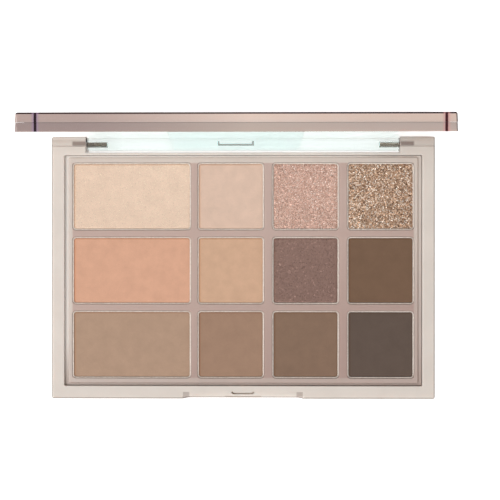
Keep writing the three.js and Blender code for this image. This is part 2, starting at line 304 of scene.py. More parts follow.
def new_group(name, inputs, outputs):
    """An empty shader group with named sockets: the tree, its input node and its output node."""
    tree = bpy.data.node_groups.new(name, "ShaderNodeTree")
    for label, (kind, value) in inputs.items():
        socket = tree.interface.new_socket(label, in_out="INPUT", socket_type="NodeSocket" + kind)
        if value is not None:
            socket.default_value = value
    for label, kind in outputs.items():
        tree.interface.new_socket(label, in_out="OUTPUT", socket_type="NodeSocket" + kind)
    return tree, tree.nodes.new("NodeGroupInput").outputs, tree.nodes.new("NodeGroupOutput").inputs


def use_group(tree, group, **values):
    """The outputs of a group placed in a material; underscores in a name stand for spaces."""
    inputs = {key.replace("_", " "): value for key, value in values.items()}
    return add(tree, "ShaderNodeGroup", inputs, node_tree=group).outputs


def new_finish(name, **sockets):
    """A material, its tree, its Principled shader and the piece's own coordinates."""
    material = bpy.data.materials.new(name)
    material.use_nodes = True
    tree = material.node_tree
    shader = tree.nodes["Principled BSDF"]
    for key, value in sockets.items():
        shader.inputs[key.replace("_", " ")].default_value = value
    place = tree.nodes.new("ShaderNodeTexCoord").outputs["Object"]
    return material, tree, shader, place


def bump(tree, shader, height, depth, strength=1.0, normal=None):
    """Feeds a height, in units of depth metres, to the shader's normal."""
    inputs = {"Height": height, "Distance": depth, "Strength": strength}
    if normal is not None:
        inputs["Normal"] = normal
    made = add(tree, "ShaderNodeBump", inputs)
    tree.links.new(made.outputs["Normal"], shader.inputs["Normal"])


# %% The shared pattern groups


def grain_group():
    """Two sizes of cloudy grain: a tone from -1 to 1 and a height."""
    tree, given, out = new_group(
        "fine_grain",
        {"Place": ("Vector", None), "Size": ("Float", 0.001), "Roughness": ("Float", 0.6)},
        {"Tone": "Float", "Height": "Float"},
    )
    scale = calc(tree, "DIVIDE", 1.0, given["Size"])
    inputs = {"Vector": given["Place"], "Scale": scale, "Detail": 4.0, "Roughness": given["Roughness"]}
    cloud = add(tree, "ShaderNodeTexNoise", inputs).outputs["Fac"]
    tree.links.new(calc(tree, "MULTIPLY_ADD", cloud, 2.0, -1.0), out["Tone"])
    tree.links.new(cloud, out["Height"])
    return tree


def edge_shade_group():
    """Where painted shade goes on a rounded edge: 1 on the round, 0 on both sides, broken up in patches."""
    tree, given, out = new_group(
        "edge_shade",
        {"Place": ("Vector", None), "Normal": ("Vector", None), "Breakup": ("Float", 0.5)},
        {"Edge": "Float"},
    )
    parts = add(tree, "ShaderNodeSeparateXYZ", {0: given["Normal"]}).outputs
    rise = calc(tree, "ABSOLUTE", parts["Z"])
    turn = calc(tree, "MULTIPLY", between(tree, rise, 0.995, 0.9), between(tree, rise, 0.03, 0.3))
    inputs = {"Vector": given["Place"], "Scale": 900.0, "Detail": 3.0}
    patches = add(tree, "ShaderNodeTexNoise", inputs).outputs["Fac"]
    shade_gaps = between(tree, patches, 0.35, 0.65)
    kept = calc(tree, "SUBTRACT", 1.0, calc(tree, "MULTIPLY", given["Breakup"], shade_gaps))
    tree.links.new(calc(tree, "MULTIPLY", turn, kept), out["Edge"])
    return tree


def flake_group():
    """Flat flakes packed side by side, each with its own lean, tone and lot."""
    tree, given, out = new_group(
        "leaning_flakes",
        {"Place": ("Vector", None), "Size": ("Float", 0.0003), "Lean": ("Float", 0.5)},
        {"Normal": "Vector", "Tone": "Float", "Lot": "Float"},
    )
    scale = calc(tree, "DIVIDE", 1.0, given["Size"])
    cells = add(tree, "ShaderNodeTexVoronoi", {"Vector": given["Place"], "Scale": scale}, feature="F1")
    colour = cells.outputs["Color"]
    centred = vector_calc(tree, "SUBTRACT", colour, (0.5, 0.5, 0.5))
    lean = add(tree, "ShaderNodeVectorMath", {0: centred, "Scale": given["Lean"]}, operation="SCALE")
    own = tree.nodes.new("ShaderNodeNewGeometry").outputs["Normal"]
    leaning = vector_calc(tree, "NORMALIZE", vector_calc(tree, "ADD", own, lean.outputs[0]))
    parts = add(tree, "ShaderNodeSeparateColor", {"Color": colour})
    tree.links.new(leaning, out["Normal"])
    tree.links.new(parts.outputs["Red"], out["Tone"])
    tree.links.new(parts.outputs["Green"], out["Lot"])
    return tree


GRAIN, EDGE_SHADE, FLAKES = grain_group(), edge_shade_group(), flake_group()
print("groups", [g.name for g in (GRAIN, EDGE_SHADE, FLAKES)])


# %% A finish of two tones and one grain
def grained_finish(name, tones, size, span=0.6, detail=0.6, rough=(), height=0.0, stretch=(), **sockets):
    """Two tones mixed by one grain, which can also vary the roughness and raise the surface."""
    material, tree, shader, place = new_finish(name, **sockets)
    if stretch:
        place = add(tree, "ShaderNodeMapping", {"Vector": place, "Scale": stretch}).outputs[0]
    grain = use_group(tree, GRAIN, Place=place, Size=size, Roughness=detail)
    dark, light = (linear(code) for code in tones)
    base = blend_colours(tree, between(tree, grain["Tone"], -span, span), dark, light)
    tree.links.new(base, shader.inputs["Base Color"])
    if rough:
        tree.links.new(between(tree, grain["Tone"], -0.6, 0.6, *rough), shader.inputs["Roughness"])
    if height:
        bump(tree, shader, grain["Height"], height)
    return material

# %% [markdown]
# ## The case's plastic
#
# The case is moulded in a rosy beige that is slightly milky, so light goes a little way in: a
# touch of subsurface scattering softens it. The steel pins lie in bores inside the lugs, and a mask
# round the hinge axis paints them there as darker bars. The rest is painted light and shade:
# painted shade on rounded edges, along the outline, on the lugs' backs and on the ends of the
# thumb recess, and painted light in the groove round the tray. All of these are painted into the
# base colour, which is simple to steer, but they stay the same in any light.

# %% Tinted plastic
MILKINESS = 0.45
MILK_DEPTH = 2.0 * MM
MILK_TINT = (1.0, 0.85, 0.8)
CLOUD_SIZE = 14 * MM
CLOUD_DEPTH = 0.91
SKIN_SIZE = 0.25 * MM
SKIN_HEIGHT = 0.004 * MM


def plastic(name, colour, edge_shade_colour, roughness=0.32, edge_shade_share=0.35, turned=0.0):
    """Moulded plastic with a faint cloudiness, a fine skin and painted shade on its rounded edges."""
    material, tree, shader, place = new_finish(
        name, Roughness=roughness, Subsurface_Weight=MILKINESS, Subsurface_Scale=MILK_DEPTH, IOR=1.49
    )
    shader.inputs["Subsurface Radius"].default_value = MILK_TINT
    cloud = use_group(tree, GRAIN, Place=place, Size=CLOUD_SIZE)
    skin = use_group(tree, GRAIN, Place=place, Size=SKIN_SIZE)
    deep = [c * CLOUD_DEPTH for c in colour[:3]] + [1.0]
    share = between(tree, cloud["Tone"], -0.6, 0.6, 0.0, 1.0)
    base = blend_colours(tree, share, deep, colour)
    normal = tree.nodes.new("ShaderNodeTexCoord").outputs["Normal"]
    if turned:
        inputs = {"Vector": normal, "Rotation": (turned, 0, 0)}
        normal = add(tree, "ShaderNodeMapping", inputs, vector_type="VECTOR").outputs[0]
    edge = use_group(tree, EDGE_SHADE, Place=place, Normal=normal, Breakup=0.2)
    # Painted shade on the rounded edges.
    base = painted(tree, base, edge["Edge"], edge_shade_share, edge_shade_colour)
    rough = between(tree, skin["Tone"], -0.8, 0.8, roughness - 0.04, roughness + 0.05)
    tree.links.new(rough, shader.inputs["Roughness"])
    bump(tree, shader, skin["Height"], SKIN_HEIGHT)
    return material, tree, shader, place, base


# %% The case's painted light and shade
# Painted light in the bottom of the groove round the tray, standing in for light that the translucent walls
# let in.
GROOVE_LIGHT = linear("fdf6f0")
GROOVE_LEAST, GROOVE_MOST = 0.15, 0.65
GROOVE_FRONT = (case_low.y + 3.65 * MM, case_low.y + 17.65 * MM)
GROOVE_RIGHT = (case_high.x - 5 * MM, case_high.x - 30 * MM)
GROOVE_SOFT = 0.2 * MM
PIN_SHADE, PIN_SHARE = linear("77635b"), 0.9
PIN_RADIUS, PIN_SOFT, PIN_SHIFT = 0.6 * MM, 0.35 * MM, 0.1 * MM
# Painted shade on the rounded backs of the lugs.
LUG_BACK_SHADE, LUG_SHADE_SHARE, LUG_SOFT = linear("b5a79e"), 0.25, 0.15 * MM
LUG_INNER = case_high.x - 9.9 * MM
LUG_GROOVE = case_high.y - 2.65 * MM
# Painted shade along the rounded outer edges of the case's sides and front.
OUTLINE_SHADE, OUTLINE_SHADE_SHARE = linear("9d948d"), 0.8
OUTLINE_SIDE = (0.5 * MM, 0.2 * MM)
OUTLINE_FRONT = (0.6 * MM, 0.3 * MM)
# Painted shade on the sloped ends of the thumb recess.
THUMB_SHADE, THUMB_SHADE_SHARE = linear("8d7b72"), 0.5
THUMB_END = 17.35 * MM
THUMB_FADE = (2.2 * MM, 1.7 * MM, 0.3 * MM)
THUMB_REACH, THUMB_SOFT = 2.0 * MM, 0.1 * MM


def bar_mask(tree, place, x_low, x_high, y, radius, soft):
    """1 along a bar parallel to the hinge axis, on both sides of the case, fading over soft metres."""
    parts = add(tree, "ShaderNodeSeparateXYZ", {0: place}).outputs
    side = calc(tree, "ABSOLUTE", parts["X"])
    from_inner = between(tree, side, x_low - soft, x_low + soft)
    from_outer = between(tree, side, x_high + soft, x_high - soft)
    inside = calc(tree, "MULTIPLY", from_inner, from_outer)
    off_axis = calc(tree, "ABSOLUTE", calc(tree, "SUBTRACT", parts["Y"], y))
    return calc(tree, "MULTIPLY", inside, between(tree, off_axis, radius + soft, radius - soft))


def paint_groove_light(tree, place, base, below):
    """base with painted light in a groove's bottom, least at the front and at the right."""
    parts = add(tree, "ShaderNodeSeparateXYZ", {0: place}).outputs
    sunk = between(tree, parts["Z"], below, below - GROOVE_SOFT)
    from_front = between(tree, parts["Y"], *GROOVE_FRONT)
    from_right = between(tree, parts["X"], *GROOVE_RIGHT, GROOVE_LEAST, GROOVE_MOST)
    share = calc(tree, "MULTIPLY", sunk, calc(tree, "MULTIPLY", from_front, from_right))
    return blend_colours(tree, share, base, GROOVE_LIGHT)


def outline_shade_mask(tree, parts, side):
    """1 along the case's two sides and its front, where painted shade goes."""
    at_side = between(tree, side, *(case_high.x - reach for reach in OUTLINE_SIDE))
    at_front = between(tree, parts["Y"], *(case_low.y + reach for reach in OUTLINE_FRONT))
    return calc(tree, "MAXIMUM", at_side, at_front)


def thumb_shade_mask(tree, parts, side):
    """1 on the two ends of the thumb recess, where painted shade goes."""
    inner, full, outer = THUMB_FADE
    ramp_end = between(tree, side, THUMB_END - inner, THUMB_END - full)
    ramp_end = calc(tree, "MULTIPLY", ramp_end, between(tree, side, THUMB_END, THUMB_END - outer))
    edge = case_low.y + THUMB_REACH
    return calc(tree, "MULTIPLY", ramp_end, between(tree, parts["Y"], edge + THUMB_SOFT, edge - THUMB_SOFT))


def case_plastic():
    material, tree, shader, place, base = plastic(
        "case_plastic", linear("e1d7ce"), linear("a39188"), edge_shade_share=0.15
    )
    # Painted light in the groove's bottom.
    base = paint_groove_light(tree, place, base, CASE_TOP - 0.1 * MM)
    pin_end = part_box("hinge_pin_right")[1].x
    pin = bar_mask(tree, place, LUG_INNER, pin_end, HINGE_AXIS.y + PIN_SHIFT, PIN_RADIUS, PIN_SOFT)
    base = painted(tree, base, pin, PIN_SHARE, PIN_SHADE)
    parts = add(tree, "ShaderNodeSeparateXYZ", {0: place}).outputs
    # Painted shade on the lugs' rounded backs.
    lug_back_shade = between(tree, parts["Y"], LUG_GROOVE - LUG_SOFT, LUG_GROOVE + LUG_SOFT)
    base = painted(tree, base, lug_back_shade, LUG_SHADE_SHARE, LUG_BACK_SHADE)
    side = calc(tree, "ABSOLUTE", parts["X"])
    # Painted shade along the outline.
    base = painted(tree, base, outline_shade_mask(tree, parts, side), OUTLINE_SHADE_SHARE, OUTLINE_SHADE)
    # Painted shade on the thumb recess's ends.
    base = painted(tree, base, thumb_shade_mask(tree, parts, side), THUMB_SHADE_SHARE, THUMB_SHADE)
    tree.links.new(base, shader.inputs["Base Color"])
    return material


CASE_PLASTIC = case_plastic()
print("case plastic nodes", len(CASE_PLASTIC.node_tree.nodes))

# %% [markdown]
# ## The case shell
#
# The shell is one moulding: rim, lugs, thumb recess, catch lip and the curved slot that lets the
# lip flex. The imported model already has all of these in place, so its shape is kept and only its
# edges are finished: a broad round inside the rim, and small ones where the catch is delicate.

# %% Case shell
CATCH_HALF_WIDTH = 6 * MM
CATCH_REACH = 2.2 * MM
CATCH_ROUND, RIM_ROUND, WALL_ROUND = 0.05 * MM, 0.22 * MM, 0.1 * MM
HAIR = 0.05 * MM


def case_radius(middle):
    """How far to round one of the case's edges."""
    if abs(middle.x) < CATCH_HALF_WIDTH and middle.y < case_low.y + CATCH_REACH:
        return CATCH_ROUND
    return RIM_ROUND if middle.z > CASE_TOP - HAIR else WALL_ROUND


def keep(piece, body, slot, material, *nodes):
    """Gives a finished piece its finish and its place in the object, and hides the imported nodes it stands
    for.
    """
    piece.data.materials.clear()
    piece.data.materials.append(material)
    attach(piece, body)
    if nodes:
        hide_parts(*nodes)
    return piece


case = softened("base_shell", "case_shell", case_radius)
keep(case, "base", "tinted_plastic", CASE_PLASTIC, "base_shell")

# %% [markdown]
# ## The pan tray
#
# The tray is the same family of plastic, a shade deeper. Its narrow webs between the pans are
# darker and pinker than its border, and painted shade deepens the whole tray towards the front
# and the right. Two masks on the piece's own coordinates paint that, and its groove gets the same
# painted light as the case's. A flat top with twelve holes in it can't be one face, or its rounded
# edges would sheet over the holes, so the tray is cut through every pan and every web first.

# %% Pan tray
pan_names = sorted(n for n in frame["nodes"] if n.startswith("pan_r"))
pan_boxes = {n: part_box(n) for n in pan_names}
field_low = Vector([min(b[0][i] for b in pan_boxes.values()) for i in range(3)])
field_high = Vector([max(b[1][i] for b in pan_boxes.values()) for i in range(3)])
WEB_TONE, WEB_SHARE, WEB_SOFT = linear("b99c92"), 0.75, 0.25 * MM
# Painted shade that deepens the tray towards the front and the right.
TRAY_SHADE, TRAY_SHADE_SHARE = linear("9c7f77"), 0.5
TRAY_SHADE_LEAN = 0.35
TRAY_SHADE_SPAN = (-10 * MM, 45 * MM)


def field_mask(tree, place, soft):
    """1 over the field of pans and 0 on the tray's border."""
    parts = add(tree, "ShaderNodeSeparateXYZ", {0: place}).outputs
    share = None
    for axis, low, high in (("X", field_low.x, field_high.x), ("Y", field_low.y, field_high.y)):
        from_low = between(tree, parts[axis], low - soft, low + soft)
        from_high = between(tree, parts[axis], high + soft, high - soft)
        inside = calc(tree, "MULTIPLY", from_low, from_high)
        share = inside if share is None else calc(tree, "MULTIPLY", share, inside)
    return share


def tray_plastic():
    material, tree, shader, place, base = plastic("tray_plastic", linear("d6c9bf"), linear("a38f86"), 0.38)
    base = painted(tree, base, field_mask(tree, place, WEB_SOFT), WEB_SHARE, WEB_TONE)
    parts = add(tree, "ShaderNodeSeparateXYZ", {0: place}).outputs
    # Painted shade, deepening towards the front and the right.
    across = calc(tree, "MULTIPLY", parts["X"], TRAY_SHADE_LEAN)
    toward_front = calc(tree, "SUBTRACT", across, parts["Y"])
    deeper = between(tree, toward_front, *TRAY_SHADE_SPAN, 0.0, TRAY_SHADE_SHARE)
    base = blend_colours(tree, deeper, base, TRAY_SHADE)
    base = paint_groove_light(tree, place, base, tray_high.z - 0.2 * MM)
    tree.links.new(base, shader.inputs["Base Color"])
    return material


# %% Cut, round and keep the tray
PLATEAU_EDGE = 0.6 * MM
PLATEAU_ROUND, WELL_ROUND, SHOULDER_ROUND = 0.3 * MM, 0.12 * MM, 0.1 * MM


def tray_radius(middle):
    """A broad round along the plateau's outline, and small ones at the wells and the shoulder."""
    beyond_x = max(middle.x - field_high.x, field_low.x - middle.x)
    beyond_y = max(middle.y - field_high.y, field_low.y - middle.y)
    if middle.z < tray_high.z - HAIR:
        return SHOULDER_ROUND
    return PLATEAU_ROUND if max(beyond_x, beyond_y) > PLATEAU_EDGE else WELL_ROUND


def cut_places(axis):
    """Through the middle of every pan, and through the middle of every web between two."""
    spans = sorted({(round(b[0][axis], 6), round(b[1][axis], 6)) for b in pan_boxes.values()})
    centres = [(low + high) / 2 for low, high in spans]
    webs = [(near[1] + far[0]) / 2 for near, far in zip(spans, spans[1:])]
    return [(axis, place) for place in centres + webs]


tray_cuts = cut_places(0) + cut_places(1)
tray = softened("pan_tray", "tray", tray_radius, segments=4, cuts=tray_cuts)
keep(tray, "base", "tray_plastic", tray_plastic(), "pan_tray")

# %% [markdown]
# ## The metal pans
#
# A pan is pressed from thin aluminium sheet, so its floor meets its wall in a small radius and its
# rim is a rounded lip. It is lofted: the same rounded rectangle is repeated from the middle of the
# underside, up the outside, over the lip and down the inside, and the rings are joined by faces.

# %% Loft tools
CORNER_STEPS = 8


def rounded_ring(width, depth, corner):
    """Points round a rounded rectangle about the origin, the same number for any size."""
    points = []
    for turn, (sx, sy) in enumerate(((1, 1), (-1, 1), (-1, -1), (1, -1))):
        cx, cy = sx * (width / 2 - corner), sy * (depth / 2 - corner)
        for step in range(CORNER_STEPS + 1):
            angle = (turn + step / CORNER_STEPS) * math.pi / 2
            points.append((cx + corner * math.cos(angle), cy + corner * math.sin(angle)))
    return points


def loft(bm, centre, rings):
    """Joins rounded rectangles (width, depth, corner, z) into a closed skin, first to last."""
    rows = []
    for width, depth, corner, z in rings:
        ring = rounded_ring(width, depth, corner)
        rows.append([bm.verts.new((centre.x + x, centre.y + y, z)) for x, y in ring])
    count = len(rows[0])
    bm.faces.new(reversed(rows[0]))
    for lower, upper in zip(rows, rows[1:]):
        for i in range(count):
            j = (i + 1) % count
            bm.faces.new((lower[i], lower[j], upper[j], upper[i]))
    bm.faces.new(rows[-1])


def arc(start, end, steps):
    """Angles from start to end in degrees, as radians."""
    return [math.radians(start + (end - start) * i / steps) for i in range(steps + 1)]


# %% Pressed aluminium
PAN_WALL = 0.3 * MM
PAN_CORNER = 1.0 * MM
PRESS_RADIUS = 0.5 * MM
LIP_FLARE = 0.07 * MM
PAN_METAL = grained_finish(
    "pan_aluminium", ("dccfc4", "f4ebe2"), 0.6 * MM, span=0.5, rough=(0.3, 0.45),
    height=0.003 * MM, Metallic=0.7, Roughness=0.36,
)


def make_pan(node):
    """A pan's rings: floor, pressed corner, wall, rolled lip, and back down inside."""
    low, high = pan_boxes[node]
    centre, size = (low + high) / 2, high - low
    lip = PAN_WALL / 2
    rings = []

    def ring(inset, z):
        corner = max(PAN_CORNER - inset, 0.25 * MM)
        rings.append((size.x - 2 * inset, size.y - 2 * inset, corner, z))

    for angle in arc(-90, 0, 4):
        ring(PRESS_RADIUS * (1 - math.cos(angle)), low.z + PRESS_RADIUS * (1 + math.sin(angle)))
    for angle in arc(0, 180, 6):
        out = LIP_FLARE * max(math.cos(angle), 0) * math.sin(angle) * 2
        ring(lip * (1 - math.cos(angle)) - out, high.z - lip + lip * math.sin(angle))
    inner = PRESS_RADIUS - PAN_WALL
    for angle in arc(0, -90, 3):
        ring(PAN_WALL + inner * (1 - math.cos(angle)), low.z + PAN_WALL + inner * (1 + math.sin(angle)))
    bm = bmesh.new()
    loft(bm, centre, rings)
    bmesh.ops.recalc_face_normals(bm, faces=bm.faces)
    return put_in_scene(bm, node.replace("pan_", "metal_pan_"), math.radians(50))


for node in pan_names:
    keep(make_pan(node), "base", "pan_aluminium", PAN_METAL, node)

# %% [markdown]
# ## The pressed powders
#
# A powder is pressed into its pan by a flat punch, so it is level, with a slight fall where it
# meets the metal and a very fine unevenness. The cake is a grid whose rows follow the pan's round
# corners and crowd together near the edge, where the fall needs them.

# %% Powder cakes
CAKE_CORNER = 0.65 * MM
CAKE_PITCH = 0.3 * MM
EDGE_STATIONS = [s * MM for s in (0.0, 0.05, 0.12, 0.22, 0.36, 0.56, 0.85)]
EDGE_FALL = 0.13 * MM
EDGE_FALL_REACH = 0.24 * MM
WAVE = 0.012 * MM
WAVE_LENGTH = 4 * MM
MATTE_GRIT = 0.006 * MM
GLITTER_GRIT = {"rose_glitter": 0.03 * MM, "gold_glitter": 0.06 * MM}
GRIT_SIZE = 0.33 * MM


def stations(half):
    """Places from -half to half, close together near both ends."""
    inner = half - EDGE_STATIONS[-1]
    count = round(2 * inner / CAKE_PITCH)
    middle = [-inner + 2 * inner * i / count for i in range(1, count)]
    near = [-half + s for s in EDGE_STATIONS]
    return near + middle + [-s for s in reversed(near)]


def depth_inside(x, y, half_x, half_y):
    """How far a point lies inside a rounded rectangle's outline."""
    qx, qy = abs(x) - (half_x - CAKE_CORNER), abs(y) - (half_y - CAKE_CORNER)
    outside = math.hypot(max(qx, 0), max(qy, 0))
    return CAKE_CORNER - outside - min(max(qx, qy), 0)


def cake_height(x, y, half_x, half_y, seed, grit):
    """The fall at the edge, the punch's slight waviness, and grit, relative to the level top."""
    fall = EDGE_FALL * math.exp(-((depth_inside(x, y, half_x, half_y) / EDGE_FALL_REACH) ** 2))
    waves = noise.noise(Vector((x, y, seed)) / WAVE_LENGTH)
    grains = noise.noise(Vector((x / GRIT_SIZE, y / GRIT_SIZE, seed)))
    return -fall + WAVE * waves - grit * (1 + grains) / 2


def make_cake(node, seed, grit):
    low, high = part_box(node)
    centre, size = (low + high) / 2, high - low
    half_x, half_y = size.x / 2, size.y / 2
    bm = bmesh.new()
    rows = []
    for y in stations(half_y):
        into_corner = max(abs(y) - (half_y - CAKE_CORNER), 0)
        reach = half_x - CAKE_CORNER + math.sqrt(max(CAKE_CORNER**2 - into_corner**2, 0))
        row = []
        for station in stations(half_x):
            x = station * reach / half_x
            z = high.z + cake_height(x, y, half_x, half_y, seed, grit)
            row.append(bm.verts.new((centre.x + x, centre.y + y, z)))
        rows.append(row)
    for near, far in zip(rows, rows[1:]):
        for i in range(len(near) - 1):
            bm.faces.new((near[i], near[i + 1], far[i + 1], far[i]))
    rim = [e for e in bm.edges if e.is_boundary]
    made = bmesh.ops.extrude_edge_only(bm, edges=rim)["geom"]
    for vert in (g for g in made if isinstance(g, bmesh.types.BMVert)):
        vert.co.z = low.z
    bmesh.ops.holes_fill(bm, edges=[e for e in bm.edges if e.is_boundary], sides=0)
    bmesh.ops.recalc_face_normals(bm, faces=bm.faces)
    return put_in_scene(bm, node.replace("powder_", "cake_"), math.radians(60))


# %% [markdown]
# ## Powder finishes
#
# A matte powder is rough and even, with a fine grain in its tone. A satin one holds some mica:
# tiny flat flakes that each lean a little, which the shared flake group gives. The two glitters
# have a darker, grittier bed, and their real flakes are laid on top of it in the next step. Each
# cake's left and back sides carry a painted shadow of the pan's wall, a warmer, deeper tone,
# which sets it down into its pan.

# %% Powder materials
SHADES = {
    "champagne": {"colour": "e5c9b3", "mica": 0.16, "lean": 0.35},
    "ivory": {"colour": "d7baa7"},
    "rose_glitter": {"colour": "c7a090", "mica": 0.9, "lean": 0.9, "flake": 0.2},
    "gold_glitter": {"colour": "b8947a", "mica": 0.9, "lean": 0.9, "flake": 0.3},
    "peach": {"colour": "d6a58a"},
    "sand": {"colour": "cda78b"},
    "mauve_shimmer": {"colour": "8a6e64", "mica": 0.5, "lean": 0.65, "flake": 0.22},
    "cocoa": {"colour": "755b48"},
    "taupe": {"colour": "b0927c"},
    "camel": {"colour": "9f806b"},
    "umber": {"colour": "856b59"},
    "charcoal": {"colour": "605148"},
}
# A painted shadow of the pan's wall along each cake's left and back sides.
SIDE_SHADOW_SHARE = 0.55
SIDE_SHADOW_WARMTH = (0.85, 0.66, 0.52)
SIDE_LEFT = (0.85 * MM, 0.1 * MM)
SIDE_BACK = (0.5 * MM, 0.1 * MM)
GRAIN_DARK, GRAIN_LIGHT = 0.86, 1.12
GRAIN_HEIGHT = 0.02 * MM
MICA_DARK, MICA_BRIGHT, MICA_METAL = 0.72, 1.45, 0.65


def shaded_sides(tree, place, node):
    """1 along the powder's left and back sides, where the pan wall's shadow is painted."""
    low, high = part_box(node)
    parts = add(tree, "ShaderNodeSeparateXYZ", {0: place}).outputs
    left = between(tree, parts["X"], *(low.x + reach for reach in SIDE_LEFT))
    back = between(tree, parts["Y"], *(high.y - reach for reach in SIDE_BACK))
    return calc(tree, "MAXIMUM", left, back)


def powder_material(name, colour, mica=0.0, lean=0.4, flake=0.13):
    """Pressed powder: grain in tone and height, and mica where mica is above 0."""
    colour = linear(colour)
    material, tree, shader, place = new_finish(name, Roughness=0.88, Sheen_Weight=0.12, Sheen_Roughness=0.5)
    shader.inputs["Specular IOR Level"].default_value = 0.22
    broad = use_group(tree, GRAIN, Place=place, Size=3.5 * MM)
    fine = use_group(tree, GRAIN, Place=place, Size=0.16 * MM, Roughness=0.75)
    low, high = ([c * k for c in colour[:3]] + [1.0] for k in (GRAIN_DARK, GRAIN_LIGHT))
    tone = calc(tree, "MULTIPLY_ADD", fine["Tone"], 0.9, calc(tree, "MULTIPLY", broad["Tone"], 0.5))
    base = blend_colours(tree, between(tree, tone, -0.7, 0.7), low, high)
    # Painted shadow of the pan's wall on the left and back sides.
    side_shadow = [c * k for c, k in zip(colour[:3], SIDE_SHADOW_WARMTH)] + [1.0]
    base = painted(tree, base, shaded_sides(tree, place, name), SIDE_SHADOW_SHARE, side_shadow)
    if not mica:
        tree.links.new(base, shader.inputs["Base Color"])
        bump(tree, shader, fine["Height"], GRAIN_HEIGHT, 0.7)
        return material
    flakes = use_group(tree, FLAKES, Place=place, Size=flake * MM, Lean=lean)
    shown = between(tree, flakes["Lot"], 1 - mica - 0.02, 1 - mica + 0.02)
    dark, bright = ([min(c * k, 1.0) for c in colour[:3]] + [1.0] for k in (MICA_DARK, MICA_BRIGHT))
    glint = blend_colours(tree, flakes["Tone"], dark, bright)
    tree.links.new(blend_colours(tree, shown, base, glint), shader.inputs["Base Color"])
    tree.links.new(calc(tree, "MULTIPLY", shown, MICA_METAL), shader.inputs["Metallic"])
    tree.links.new(between(tree, shown, 0.0, 1.0, 0.85, 0.35), shader.inputs["Roughness"])
    own = tree.nodes.new("ShaderNodeNewGeometry").outputs["Normal"]
    mixed = add(tree, "ShaderNodeMix", {0: shown, 4: own, 5: flakes["Normal"]}, data_type="VECTOR")
    bump(tree, shader, fine["Height"], GRAIN_HEIGHT, 0.5, mixed.outputs[1])
    return material


# %% Press the twelve cakes
cakes = {}
for seed, (shade, look) in enumerate(SHADES.items(), start=1):
    piece = make_cake("powder_" + shade, seed, GLITTER_GRIT.get(shade, MATTE_GRIT))
    material = powder_material("powder_" + shade, **look)
    cakes[shade] = keep(piece, "base", "powder_" + shade, material, "powder_" + shade)
print("cakes", len(cakes), "faces in the first", len(cakes["champagne"].data.polygons))

# %% [markdown]
# ## The glitter
#
# Glitter is cut film: flat six-sided flakes that lie every way on the bed. Geometry Nodes scatter
# them over the top of a cake, give each its lean, turn, size and tone, and make them real. The
# tone is stored on the mesh, and the material reads it, so every flake has a colour of its own.

# %% The scatter tree


def scatter_tree():
    """Lays flakes on the upward faces of a mesh. Returns the tree and its inputs' identifiers."""
    tree = bpy.data.node_groups.new("glitter_scatter", "GeometryNodeTree")
    kinds = {
        "Geometry": "Geometry", "Density": "Float", "Radius": "Float", "Lean": "Float",
        "Lift": "Float", "Seed": "Int", "Finish": "Material",
    }
    ids = {
        label: tree.interface.new_socket(
            label, in_out="INPUT", socket_type="NodeSocket" + kind
        ).identifier
        for label, kind in kinds.items()
    }
    tree.interface.new_socket("Geometry", in_out="OUTPUT", socket_type="NodeSocketGeometry")
    given = tree.nodes.new("NodeGroupInput").outputs
    out = tree.nodes.new("NodeGroupOutput")

    normal = tree.nodes.new("GeometryNodeInputNormal").outputs[0]
    upward = calc(tree, "GREATER_THAN", add(tree, "ShaderNodeSeparateXYZ", {0: normal}).outputs["Z"], 0.8)
    points = add(
        tree,
        "GeometryNodeDistributePointsOnFaces",
        {
            "Mesh": given["Geometry"], "Selection": upward,
            "Density": given["Density"], "Seed": given["Seed"],
        },
        distribute_method="RANDOM",
    ).outputs["Points"]
    lift = add(tree, "ShaderNodeCombineXYZ", {"Z": given["Lift"]}).outputs[0]
    points = add(tree, "GeometryNodeSetPosition", {"Geometry": points, "Offset": lift}).outputs[0]
    flake = add(
        tree, "GeometryNodeMeshCircle", {"Vertices": 6, "Radius": given["Radius"]}, fill_type="NGON"
    ).outputs[0]

    back = calc(tree, "MULTIPLY", given["Lean"], -1.0)
    lowest = add(tree, "ShaderNodeCombineXYZ", {"X": back, "Y": back}).outputs[0]
    highest = add(
        tree, "ShaderNodeCombineXYZ", {"X": given["Lean"], "Y": given["Lean"], "Z": math.tau}
    ).outputs[0]
    turn = add(
        tree, "FunctionNodeRandomValue", {0: lowest, 1: highest, 8: given["Seed"]}, data_type="FLOAT_VECTOR"
    ).outputs[0]
    size = add(
        tree, "FunctionNodeRandomValue", {2: 0.5, 3: 1.0, 8: given["Seed"]}, data_type="FLOAT"
    ).outputs[1]
    laid = add(
        tree,
        "GeometryNodeInstanceOnPoints",
        {"Points": points, "Instance": flake, "Rotation": turn, "Scale": size},
    ).outputs[0]
    other = calc(tree, "ADD", given["Seed"], 1.0)
    tone = add(tree, "FunctionNodeRandomValue", {2: 0.0, 3: 1.0, 8: other}, data_type="FLOAT").outputs[1]
    toned = add(
        tree,
        "GeometryNodeStoreNamedAttribute",
        {"Geometry": laid, "Name": "tone", "Value": tone},
        data_type="FLOAT",
        domain="INSTANCE",
    ).outputs[0]
    real = add(tree, "GeometryNodeRealizeInstances", {"Geometry": toned}).outputs[0]
    done = add(tree, "GeometryNodeSetMaterial", {"Geometry": real, "Material": given["Finish"]}).outputs[0]
    tree.links.new(done, out.inputs[0])
    return tree, ids


SCATTER, SCATTER_IDS = scatter_tree()
print("scatter nodes", len(SCATTER.nodes), "inputs", list(SCATTER_IDS))


# %% Flakes on the two glitter pans
FILM_METAL, FILM_ROUGHNESS = 0.55, 0.4


